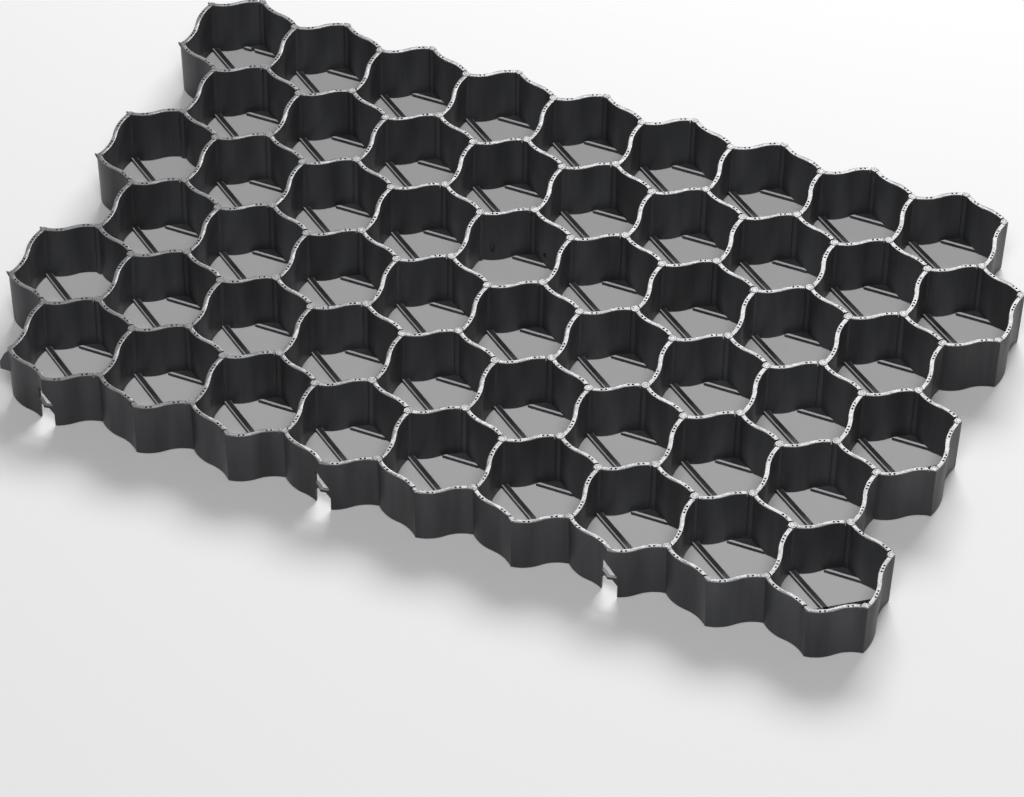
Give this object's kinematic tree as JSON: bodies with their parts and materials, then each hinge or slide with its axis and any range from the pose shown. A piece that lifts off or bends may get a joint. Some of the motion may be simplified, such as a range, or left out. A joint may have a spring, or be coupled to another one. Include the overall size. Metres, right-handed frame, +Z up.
{
  "type": "grass paver grid",
  "caption": "Flat black plastic honeycomb panel of open cells with waved walls, corner posts, diagonal floor bars and edge hooks and slots, laid on ground to carry grass or gravel.",
  "frame": {"origin": "middle of the panel's bounding box on the plane that it rests on", "axes": "+X along the rows of cells, the long way; +Y to the back side, which carries the hooks; +Z up"},
  "size_m": [0.6046, 0.397, 0.04],
  "materials": {
    "black_plastic": "satin moulded recycled plastic, near black"
  },
  "bodies": {
    "root": {"paver_grid": "black_plastic"}
  },
  "joints": []
}
